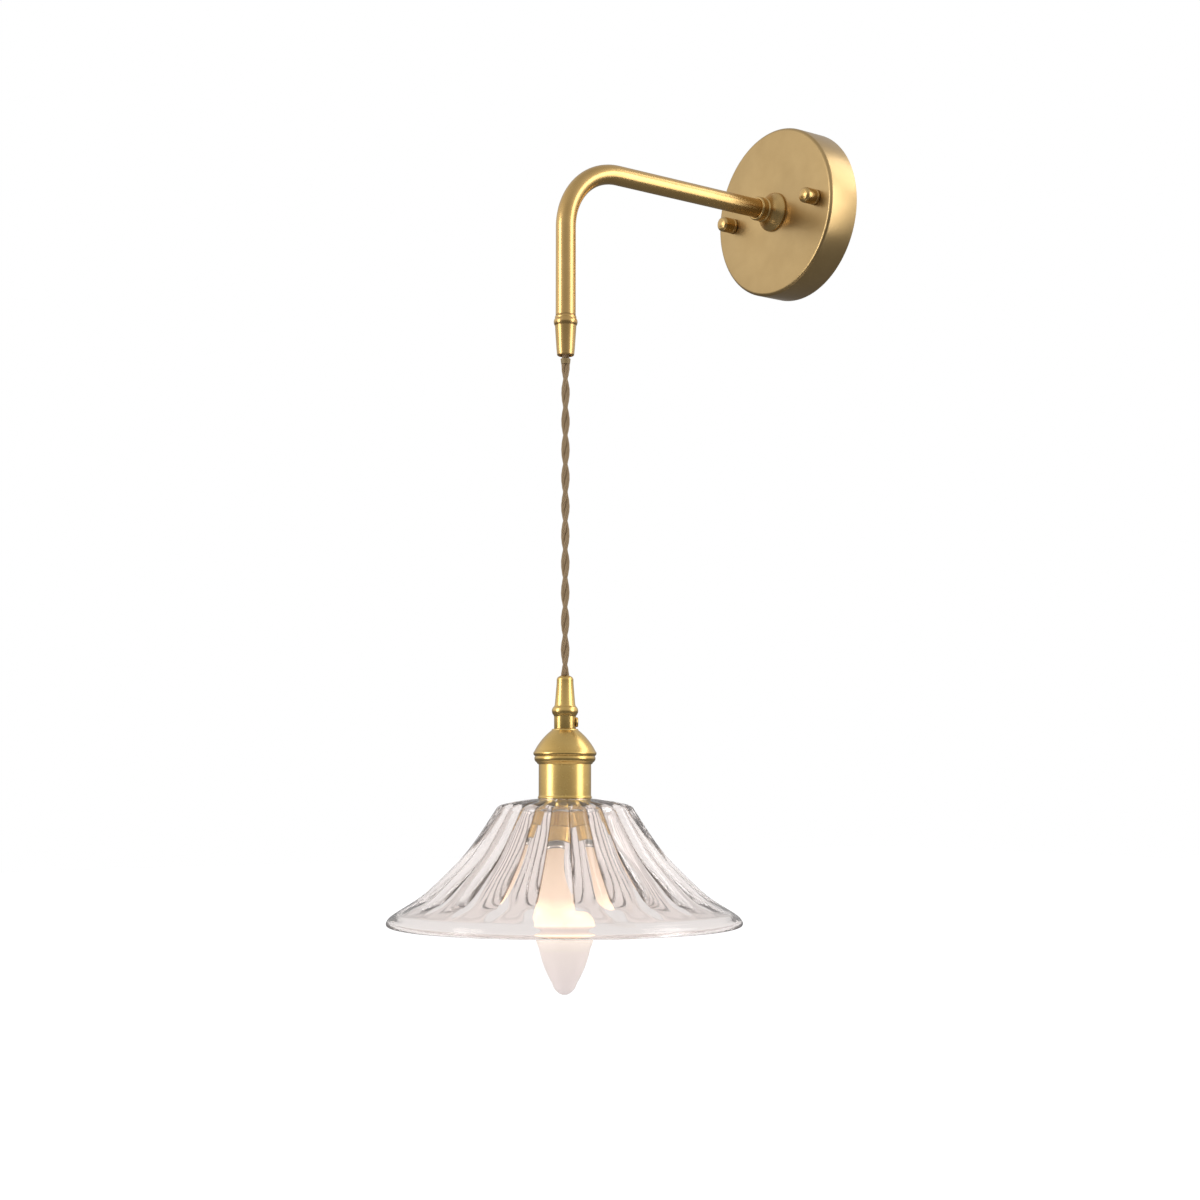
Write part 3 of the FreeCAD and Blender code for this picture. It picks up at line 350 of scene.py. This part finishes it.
def soften(points, radius):
    """Rounds each sharp corner of a closed outline off the axis, as a tool or polishing leaves it."""
    soft = []
    for before, here, after in zip(points[-1:] + points[:-1], points, points[1:] + points[:1]):
        here_v, into, out = (np.array(p, float) for p in (here, before, after))
        into, out = here_v - into, out - here_v
        reach_in, reach_out = np.hypot(*into), np.hypot(*out)
        if here[0] < 1e-6 or min(reach_in, reach_out) < 1e-6:
            soft.append(here)
            continue
        cosine = np.clip(into @ out / (reach_in * reach_out), -1, 1)
        if math.degrees(math.acos(cosine)) < 22:
            soft.append(here)
            continue
        back = min(radius, 0.4 * reach_in, 0.4 * reach_out)
        first, last = here_v - into / reach_in * back, here_v + out / reach_out * back
        for t in (0.0, 0.33, 0.67, 1.0):
            soft.append(tuple((1 - t) ** 2 * first + 2 * t * (1 - t) * here_v + t * t * last))
    return soft


def finish_mesh(mesh, material, sharp=35.0):
    """Smooth shading with true edges kept, and the material in its slot."""
    for face in mesh.polygons:
        face.use_smooth = True
    mesh.set_sharp_from_angle(angle=math.radians(sharp))
    mesh.materials.append(material)


def new_piece(name, mesh, body, replaced=()):
    """Puts a mesh in the scene, riding on its body and standing for the given nodes."""
    piece = bpy.data.objects.new(name, mesh)
    bpy.context.scene.collection.objects.link(piece)
    if replaced:
        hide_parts(*replaced)
    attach(piece, body)
    return piece


def turned_mesh(name, points, place, rings=128):
    """A mesh spun about its own Z axis from a closed outline in millimetres, then put in place."""
    shape = bmesh.new()
    corners = [shape.verts.new((x * MM, 0.0, z * MM)) for x, z in points]
    edges = [shape.edges.new((a, b)) for a, b in zip(corners, corners[1:] + corners[:1])
             if max(a.co.x, b.co.x) > 1e-9]
    bmesh.ops.spin(shape, geom=corners + edges, cent=(0, 0, 0), axis=(0, 0, 1), dvec=(0, 0, 0),
                   angle=2 * math.pi, steps=rings, use_duplicate=False)
    bmesh.ops.remove_doubles(shape, verts=shape.verts, dist=1e-7)
    bmesh.ops.recalc_face_normals(shape, faces=shape.faces)
    shape.transform(place)
    mesh = bpy.data.meshes.new(name)
    shape.to_mesh(mesh)
    shape.free()
    return mesh


def hung(depth):
    """Places a piece's own origin on the pendant line, that far below the canopy's centre."""
    return Matrix.Translation((0.0, -ARM_REACH * MM, -depth * MM))


def faced_out(out, across=0.0, up=0.0):
    """Turns a piece's own Z to point away from the wall, starting that far from it."""
    return Matrix.Translation((across * MM, -out * MM, up * MM)) @ Matrix.Rotation(math.pi / 2, 4, "X")


def turned(node, corners, place, body, material, edge=0.2, rings=128):
    """A turned piece that stands for its CAD node."""
    mesh = turned_mesh(node + "_turned", soften(outline_points(corners), edge), place, rings)
    finish_mesh(mesh, material)
    return new_piece(node + "_look", mesh, body, [node])


def tube_mesh(name, centres, radius, sides):
    """The open skin of a round tube along centre points, all in metres, without twist."""
    shape = bmesh.new()
    centres = [Vector(p) for p in centres]
    normal = Vector((1, 0, 0))
    rings = []
    for index, centre in enumerate(centres):
        ahead = centres[min(index + 1, len(centres) - 1)] - centres[max(index - 1, 0)]
        ahead.normalize()
        normal = (normal - ahead * normal.dot(ahead)).normalized()
        side = ahead.cross(normal)
        rings.append([shape.verts.new(centre + (normal * math.cos(a) + side * math.sin(a)) * radius)
                      for a in (2 * math.pi * k / sides for k in range(sides))])
    for ring, following in zip(rings, rings[1:]):
        for k in range(sides):
            n = (k + 1) % sides
            shape.faces.new((ring[k], ring[n], following[n], following[k]))
    bmesh.ops.recalc_face_normals(shape, faces=shape.faces)
    mesh = bpy.data.meshes.new(name)
    shape.to_mesh(mesh)
    shape.free()
    return mesh


# ---------------------------------------------------------------- cord
def cord_route():
    """Points in metres along the cord's own smooth spline."""
    curve = bpy.data.curves.new("cord_route", "CURVE")
    curve.dimensions = "3D"
    spline = curve.splines.new("NURBS")
    depths = [CORD_TOP, 150.0, 190.0, 230.0, 270.0, 300.0, CORD_BOTTOM]
    spline.points.add(len(depths) - 1)
    for point, depth in zip(spline.points, depths):
        point.co = (0.0, -ARM_REACH * MM, -depth * MM, 1.0)
    spline.order_u = 3
    spline.use_endpoint_u = True
    spline.resolution_u = 24
    route = bpy.data.objects.new("cord_route", curve)
    bpy.context.scene.collection.objects.link(route)
    line = bpy.data.meshes.new_from_object(route)
    path = [vertex.co.copy() for vertex in line.vertices]
    bpy.data.objects.remove(route)
    bpy.data.meshes.remove(line)
    return path


def add_strand(shape, wrap, path, start):
    """One strand of the twist, wound round the path from a starting angle, with its yarns' wrap."""
    travelled = [0.0]
    for a, b in zip(path, path[1:]):
        travelled.append(travelled[-1] + (b - a).length)
    offset = (CORD_DIAMETER / 2 - STRAND_RADIUS) * MM
    pitch = TWIST_PITCH * MM
    sides, steps = 20, 420
    rings = []
    for step in range(steps + 1):
        length = travelled[-1] * step / steps
        index = min(max(int(np.searchsorted(travelled, length)), 1), len(path) - 1)
        share = (length - travelled[index - 1]) / (travelled[index] - travelled[index - 1])
        centre = path[index - 1].lerp(path[index], share)
        ahead = (path[index] - path[index - 1]).normalized()
        across = (Vector((1, 0, 0)) - ahead * ahead.x).normalized()
        side = ahead.cross(across)
        turn = 2 * math.pi * length / pitch + start + 0.6
        out = across * math.cos(turn) + side * math.sin(turn)
        spin = -across * math.sin(turn) + side * math.cos(turn)
        lean = (ahead + spin * (2 * math.pi * offset / pitch)).normalized()
        second = lean.cross(out).normalized()
        # the braid is uneven by a few hundredths, and the two strands differ
        along = length / MM
        wobble = 1.0 + 0.03 * math.sin(along * 1.7 + start / math.pi) + 0.02 * math.sin(along * 0.61)
        rings.append([shape.verts.new(centre + out * offset + (out * math.cos(a) + second * math.sin(a))
                                      * STRAND_RADIUS * MM * wobble)
                      for a in (2 * math.pi * k / sides for k in range(sides))])
    # eight yarns round the strand, and one unit along it is one millimetre
    round_unit, along_unit = 8.0 / sides, travelled[-1] / MM / steps
    for step, (ring, following) in enumerate(zip(rings, rings[1:])):
        for k in range(sides):
            n = (k + 1) % sides
            face = shape.faces.new((ring[k], ring[n], following[n], following[k]))
            corners = ((k, step), (k + 1, step), (k + 1, step + 1), (k, step + 1))
            for loop, (u, v) in zip(face.loops, corners):
                loop[wrap].uv = (u * round_unit, v * along_unit)
    shape.faces.new(rings[0][::-1])
    shape.faces.new(rings[-1])


def make_cord():
    """Two fabric-covered strands twisted together, and the short sleeve round their upper end."""
    sleeve = turned("cord_sleeve_upper", [
        (2.4, 0.0), (2.65, 0.0), (3.0, 3.0), (2.4, 3.0),
    ], hung(SLEEVE_END), "cord", SLEEVING, 0.1, 48)
    path = cord_route()
    shape = bmesh.new()
    wrap = shape.loops.layers.uv.new("wrap")
    for start in (0.0, math.pi):
        add_strand(shape, wrap, path, start)
    bmesh.ops.recalc_face_normals(shape, faces=shape.faces)
    mesh = bpy.data.meshes.new("twisted_cord")
    shape.to_mesh(mesh)
    shape.free()
    finish_mesh(mesh, FABRIC, 60)
    cord = new_piece("twisted_cord", mesh, "cord", ["pendant_cord"])


# ---------------------------------------------------------------- brass pieces
def make_canopy():
    """Spun cup with a rolled front edge, and the two barrel cap nuts that hold it on."""
    radius, wall, edge = 54.7, 1.2, 2.2
    turned("canopy", [
        (radius - wall, 0.0), (radius, 0.0), (radius, CANOPY_DEPTH - edge, edge),
        (radius - edge, CANOPY_DEPTH), (5.2, CANOPY_DEPTH), (5.2, CANOPY_DEPTH - wall),
        (radius - edge, CANOPY_DEPTH - wall, wall - edge), (radius - wall, CANOPY_DEPTH - edge),
    ], faced_out(0.0), "fixture", CANOPY_BRASS, 0.25, 192)
    for side, name in ((-1, "cap_nut_left"), (1, "cap_nut_right")):
        turned(name, [
            (2.05, 0.3), (5.0, 0.3), (5.0, 1.7), (4.65, 1.9), (4.65, 2.2), (4.9, 2.4),
            (4.9, 8.4, 2.4), (2.5, 10.8, 9.0), (0.6, 11.2), (0.0, 11.2), (0.0, 8.6), (2.05, 8.6),
        ], faced_out(CANOPY_DEPTH, side * 40.0), name, BRASS, 0.25, 64)


def make_arm():
    """Bent tube, with the flared collar that it stands in."""
    turned("arm_rosette", [
        (5.2, 0.0), (12.6, 0.0), (12.6, 1.2), (11.8, 2.0, -9.0), (7.9, 9.2), (7.2, 9.6), (7.2, 10.2),
        (7.7, 10.6), (7.7, 14.2), (7.1, 14.9), (6.02, 14.9), (6.02, 4.5), (5.2, 4.5),
    ], faced_out(CANOPY_DEPTH), "fixture", BRASS, 0.3, 96)
    # a ring close to each end keeps the shading of the long straights even
    level = (ARM_SEAT, ARM_SEAT + 0.3, 60.0, 100.0, ARM_REACH - ARM_BEND - 3)
    centres = [(0.0, -y * MM, 0.0) for y in level]
    bend_steps = 32
    for step in range(bend_steps + 1):
        angle = math.pi / 2 * step / bend_steps
        centres.append((0.0, -(ARM_REACH - ARM_BEND + ARM_BEND * math.sin(angle)) * MM,
                        -(ARM_BEND - ARM_BEND * math.cos(angle)) * MM))
    centres += [(0.0, -ARM_REACH * MM, -z * MM) for z in (ARM_BEND + 3, 60.0, ARM_DROP - 0.3, ARM_DROP)]
    mesh = tube_mesh("bent_tube", centres, ARM_RADIUS * MM, 64)
    finish_mesh(mesh, BRASS)
    arm = new_piece("arm_tube_look", mesh, "fixture", ["arm_tube"])
    wall = arm.modifiers.new("wall", "SOLIDIFY")
    wall.thickness = ARM_WALL * MM
    wall.offset = -1.0


def make_grips():
    """The two tapered cord grips, each with a rolled bead near its wide end, and the lower one's screw."""
    # the upper grip's round chamber, centred 2.2 mm above its mouth, lets the cord swing
    chamber, rise, bore = 4.5, 2.2, 3.2
    mouth = math.sqrt(chamber ** 2 - rise ** 2)
    turned("cord_grip_upper", [
        (mouth, 0.0), (4.6, 0.0, 0.9), (5.15, 0.8), (5.5, 4.6), (6.4, 18.2, 3.5), (6.4, 22.5), (6.45, 23.4),
        (6.0, 24.4), (4.95, 24.4), (4.95, 32.4), (bore, 32.4),
        (bore, rise + math.sqrt(chamber ** 2 - bore ** 2), -chamber),
    ], hung(GRIP_END), "fixture", BRASS, 0.2, 96)
    turned("cord_grip_lower", [
        (4.97, 0.0), (6.4, 0.0), (6.4, 7.2), (6.7, 7.9, 3.5), (6.3, 13.2), (5.95, 14.3), (4.95, 26.2),
        (4.9, 28.4, 2.2), (3.5, 30.6), (2.62, 31.1), (2.56, 30.5), (2.56, 19.8), (3.6, 19.8), (3.6, 8.5),
        (4.97, 8.5),
    ], hung(HEAD_GRIP_END), "lamp_head", HOLDER_BRASS, 0.2, 96)
    heading = Vector((0.6, 0.8, 0.0))
    place = (Matrix.Translation(Vector((0.0, -ARM_REACH, -CLAMP_SCREW)) * MM + heading * 5.1 * MM)
             @ heading.to_track_quat("Z", "Y").to_matrix().to_4x4())
    turned("head_clamp_screw", [
        (0.0, 0.0), (1.48, 0.0), (1.48, 1.3), (2.9, 1.3), (2.9, 2.0, 0.8), (2.3, 2.6), (0.9, 2.7),
        (0.9, 2.0), (0.0, 1.9),
    ], place, "lamp_head", HOLDER_BRASS, 0.1, 48)


def make_holder():
    """Domed cap with two beads over the plain barrel of the lamp holder."""
    turned("holder_dome", [
        (15.33, 0.0), (15.9, 0.0), (16.5, 1.0, 2.6), (17.65, 4.3), (17.45, 4.6), (17.7, 4.9, 1.5),
        (18.0, 7.3, 36.0), (7.8, 19.8), (7.6, 20.5), (6.42, 20.5), (6.42, 20.0), (5.0, 20.0), (5.0, 19.0),
        (7.2, 19.0, -35.0), (16.9, 7.0), (16.5, 3.3), (15.33, 3.3),
    ], hung(DOME_END), "lamp_head", HOLDER_BRASS, 0.25, 128)
    turned("holder_shell", [
        (12.8, 0.0), (13.8, 0.0), (14.0, 0.4), (14.0, 25.1), (15.8, 25.1), (15.8, 26.0), (15.3, 26.7),
        (15.3, 48.0), (14.3, 48.0), (14.3, 27.6), (12.8, 26.6),
    ], hung(SHELL_END), "lamp_head", HOLDER_BRASS, 0.25, 128)


def make_shade_ring():
    """Clamp ring under the shade, with finger notches cut all round its barrel."""
    # every notch is half a round, as deep as it is half wide
    notches, depth, body = 18, 0.85, 17.2
    profile = soften(outline_points([
        (14.05, 0.0), (16.8, 0.0), (17.2, 0.4), (17.2, 8.3), (19.6, 9.3), (19.6, 11.6), (14.05, 11.6),
    ]), 0.25)
    mesh = turned_mesh("clamp_ring", profile, Matrix.Identity(4), 360)
    for vertex in mesh.vertices:
        reach = math.hypot(vertex.co.x, vertex.co.y)
        angle = math.atan2(vertex.co.y, vertex.co.x)
        share = abs((angle * notches / (2 * math.pi) + 0.5) % 1.0 - 0.5)
        aside = share / notches * 2 * math.pi * body
        if reach > 16.5 * MM and vertex.co.z < 8.35 * MM and aside < depth:
            scale = 1.0 - depth * MM * math.sqrt(1 - (aside / depth) ** 2) / reach
            vertex.co.x *= scale
            vertex.co.y *= scale
    mesh.transform(hung(SHADE_RING_END))
    finish_mesh(mesh, HOLDER_BRASS, 50)
    new_piece("shade_ring_look", mesh, "shade_ring", ["shade_ring"])


# ---------------------------------------------------------------- glass
# Crest line of the shade, as in the source: radius, height below the top, and the shares of the flute
# depth that the crease outside and the hollow inside lie under it.  The creases stop short and soft at
# the rim.  The hollow evens out early, so that the wall is no prism where the flutes end.
CREST = [
    (14.6, 0.0, 0.0, 0.0), (18.0, 0.25, 0.02, 0.02), (22.0, 0.7, 0.1, 0.1), (26.0, 1.3, 0.25, 0.25),
    (30.0, 1.95, 0.5, 0.38), (34.0, 2.85, 0.68, 0.5), (37.6, 3.7, 0.78, 0.56), (39.6, 4.9, 0.82, 0.6),
    (40.6, 6.7, 0.84, 0.64), (42.3, 9.3, 0.84, 0.68), (44.6, 13.0, 0.84, 0.73), (47.6, 17.6, 0.8, 0.8),
    (51.0, 22.6, 0.87, 0.84), (54.6, 27.8, 0.94, 0.82), (58.6, 32.6, 1.0, 0.79), (63.2, 37.6, 1.0, 0.74),
    (68.0, 42.3, 1.0, 0.67), (72.8, 47.0, 1.0, 0.58), (77.4, 51.4, 0.92, 0.48), (81.4, 54.9, 0.8, 0.38),
    (84.9, 57.6, 0.56, 0.28), (88.0, 59.7, 0.26, 0.18), (91.2, 61.7, 0.07, 0.1), (94.8, 63.9, 0.0, 0.04),
    (98.4, 66.1, 0.0, 0.0), (101.4, 68.3, 0.0, 0.0), (102.8, 70.2, 0.0, 0.0), (103.2, 71.8, 0.0, 0.0),
    (102.3, 73.0, 0.0, 0.0), (100.9, 73.0, 0.0, 0.0),
]
HOLLOW_ROWS = slice(5, 25)
HOLLOW_LIP = ((98.6, -70.4), (99.6, -72.2), (100.4, -73.0))


def smooth_line(poles, samples):
    """Points of a clamped cubic B-spline with these poles."""
    poles = np.array(poles, float)
    spans = len(poles) - 3
    knots = np.concatenate([[0] * 3, np.arange(spans + 1), [spans] * 3])
    points = []
    for value in np.linspace(0, spans, samples):
        span = min(int(value), spans - 1)
        local = [poles[span + k].copy() for k in range(4)]
        for level in range(1, 4):
            for k in range(3, level - 1, -1):
                low, high = knots[span + k], knots[span + k + 4 - level]
                share = (value - low) / (high - low)
                local[k] = (1 - share) * local[k - 1] + share * local[k]
        points.append(local[3])
    return np.array(points)


def inward_at(index):
    """The direction from a row of the crest line into the glass."""
    before, after = CREST[max(index - 1, 0)], CREST[min(index + 1, len(CREST) - 1)]
    along = np.array([after[0] - before[0], before[1] - after[1]], float)
    along /= np.hypot(*along)
    return np.array([along[1], -along[0]])


def under_crest(depths):
    """The line that lies under the crest line by one depth for each row, towards the inside."""
    return [np.array([row[0], -row[1]]) + inward_at(k) * depth
            for k, (row, depth) in enumerate(zip(CREST, depths))]


def make_shade():
    """Fluted shade: rounded ribs outside with sharp creases between them, a smooth wall inside."""
    crest = under_crest([0.0] * len(CREST))
    crease = under_crest([row[2] * FLUTE_DEPTH for row in CREST])
    inner = under_crest([row[3] * FLUTE_DEPTH + SHADE_WALL for row in CREST])[HOLLOW_ROWS]
    inner += [np.array(point) for point in HOLLOW_LIP]
    inner[0][1] = -SHADE_SEAT
    rows = 120
    crest, crease, inner = smooth_line(crest, rows), smooth_line(crease, rows), smooth_line(inner, 90)
    per_flute = 16
    around = FLUTES * per_flute
    angles = [2 * math.pi * k / around + math.radians(FLUTE_PHASE) for k in range(around)]
    shape = bmesh.new()
    rings = []
    for top, low in zip(crest, crease):
        ring = []
        for k, angle in enumerate(angles):
            across = 2 * (k % per_flute) / per_flute - 1
            r, z = top + (low - top) * across * across
            ring.append(shape.verts.new((r * math.cos(angle) * MM, r * math.sin(angle) * MM, z * MM)))
        rings.append(ring)
    seat = [(14.4, -SHADE_SEAT), (14.4, -0.2), (14.6, 0.0)]
    for r, z in list(inner[::-1]) + seat[:-1]:
        rings.append([shape.verts.new((r * math.cos(a) * MM, r * math.sin(a) * MM, z * MM))
                      for a in angles])
    for ring, following in zip(rings, rings[1:] + rings[:1]):
        for k in range(around):
            n = (k + 1) % around
            shape.faces.new((ring[k], ring[n], following[n], following[k]))
    bmesh.ops.recalc_face_normals(shape, faces=shape.faces)
    shape.transform(hung(SHADE_TOP))
    mesh = bpy.data.meshes.new("fluted_shade")
    shape.to_mesh(mesh)
    shape.free()
    finish_mesh(mesh, SHADE_GLASS, 22)
    new_piece("glass_shade_look", mesh, "lamp_head", ["glass_shade"])


def make_bulb():
    """Candle bulb, frosted outside."""
    turned("bulb_glass", [
        (0.0, 0.0), (1.4, 0.15, 9.0), (7.2, 6.6, 60.0), (14.9, 26.6, 26.0), (17.5, 38.0, 26.0),
        (16.3, 48.0, 60.0), (11.2, 68.0, -45.0), (9.2, 83.2), (8.2, 83.2), (10.2, 68.0, -59.0), (15.3, 48.0, -25.0),
        (16.5, 38.0, -25.0), (13.9, 26.9, -59.0), (6.3, 7.3, -8.0), (0.0, 1.2),
    ], hung(BULB_TIP), "bulb", FROSTED, 0.15, 128)


# ---------------------------------------------------------------- stage and light
def make_stage():
    """Plain white floor that keeps a soft shadow; seen directly and through glass it is evenly white."""
    half, level = 6.0, -FLOOR * MM
    mesh = bpy.data.meshes.new("floor")
    corners = [(x, y, level) for x, y in ((-half, -half), (half, -half), (half, half), (-half, half))]
    mesh.from_pydata(corners, [], [(0, 1, 2, 3)])
    floor = bpy.data.objects.new("floor", mesh)
    bpy.context.scene.collection.objects.link(floor)
    material, tree, shader = new_material("white_floor", {
        "Emission Color": (0.75, 0.75, 0.75, 1.0), "Roughness": 0.9})
    rays = add_node(tree, "ShaderNodeLightPath").outputs
    through = compute(tree, "MAXIMUM", {0: rays["Is Camera Ray"], 1: rays["Is Transmission Ray"]})
    mirrored = compute(tree, "MULTIPLY", {0: rays["Is Glossy Ray"]}, {1: 0.1})
    tree.links.new(compute(tree, "MAXIMUM", {0: through, 1: mirrored}), shader.inputs["Emission Strength"])
    # metal sees the floor as the dimmer side of the room, as under a lamp that hangs on a wall
    tree.links.new(ramp(tree, rays["Is Glossy Ray"], [(0.0, "#f4f4f4"), (1.0, "#6e6e6e")]),
                   shader.inputs["Base Color"])
    mesh.materials.append(material)


def make_light():
    """White sky; metal sees it shaded like a room, with three large soft lamps for its highlights."""
    world = bpy.context.scene.world or bpy.data.worlds.new("studio")
    bpy.context.scene.world = world
    world.use_nodes = True
    tree = world.node_tree
    background = tree.nodes["Background"]
    background.inputs["Color"].default_value = (1, 1, 1, 1)
    rays = add_node(tree, "ShaderNodeLightPath").outputs
    way = add_node(tree, "ShaderNodeTexCoord").outputs["Generated"]
    height = add_node(tree, "ShaderNodeSeparateXYZ", {}, {"Vector": way}).outputs["Z"]
    level = remap(tree, height, (-1.0, 1.0), (0.0, 1.0))
    sky = ramp(tree, level, [(0.37, "#5c5c5c"), (0.62, "#ffffff"), (0.74, "#f4f4f4"), (1.0, "#bebebe")])
    # the room is dimmer where the photographer stands, and straight behind the lamp, than on its two sides
    line_of_sight = (0.8, -0.6, 0.0)
    facing = add_node(tree, "ShaderNodeVectorMath", {"operation": "DOT_PRODUCT", 1: line_of_sight},
                      {0: way}).outputs["Value"]
    sides = remap(tree, compute(tree, "ABSOLUTE", {0: facing}), (0.45, 0.92), (1.0, 0.55))
    shine = compute(tree, "MULTIPLY", {0: sky, 1: sides})
    through = compute(tree, "MAXIMUM", {0: rays["Is Camera Ray"], 1: rays["Is Transmission Ray"]})
    mirrored = compute(tree, "MULTIPLY", {0: rays["Is Glossy Ray"], 1: shine})
    seen = compute(tree, "MAXIMUM", {0: through, 1: mirrored})
    # as a lamp, for rays that leave a matt surface, it has strength 0.4
    lit = compute(tree, "MULTIPLY_ADD", {0: rays["Is Glossy Ray"]}, {1: -0.4, 2: 0.4})
    tree.links.new(compute(tree, "MAXIMUM", {0: seen, 1: lit}), background.inputs["Strength"])
    aim = Vector((0.0, -0.12, -0.2))
    # name, place and size in metres, power in watts
    for name, place, width, tall, power in (
            ("left_softbox", (-0.35, -1.45, -0.05), 0.5, 1.1, 7.0),
            ("right_softbox", (1.00, 0.52, 0.00), 0.55, 1.1, 5.2),
            ("upper_softbox", (0.40, 0.72, 0.60), 0.5, 0.5, 1.8)):
        data = bpy.data.lights.new(name, "AREA")
        data.shape = "RECTANGLE"
        data.size = width
        data.size_y = tall
        data.energy = power
        lamp = bpy.data.objects.new(name, data)
        lamp.location = place
        lamp.rotation_euler = (aim - Vector(place)).to_track_quat("-Z", "Y").to_euler()
        bpy.context.scene.collection.objects.link(lamp)


for node, finish in NODE_FINISH.items():
    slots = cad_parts[node].data.materials
    slots.clear()
    slots.append(finish)

make_canopy()
make_arm()
make_grips()
make_cord()
make_holder()
make_shade_ring()
make_shade()
make_bulb()
make_stage()
make_light()
bpy.context.scene.view_settings.view_transform = "Standard"
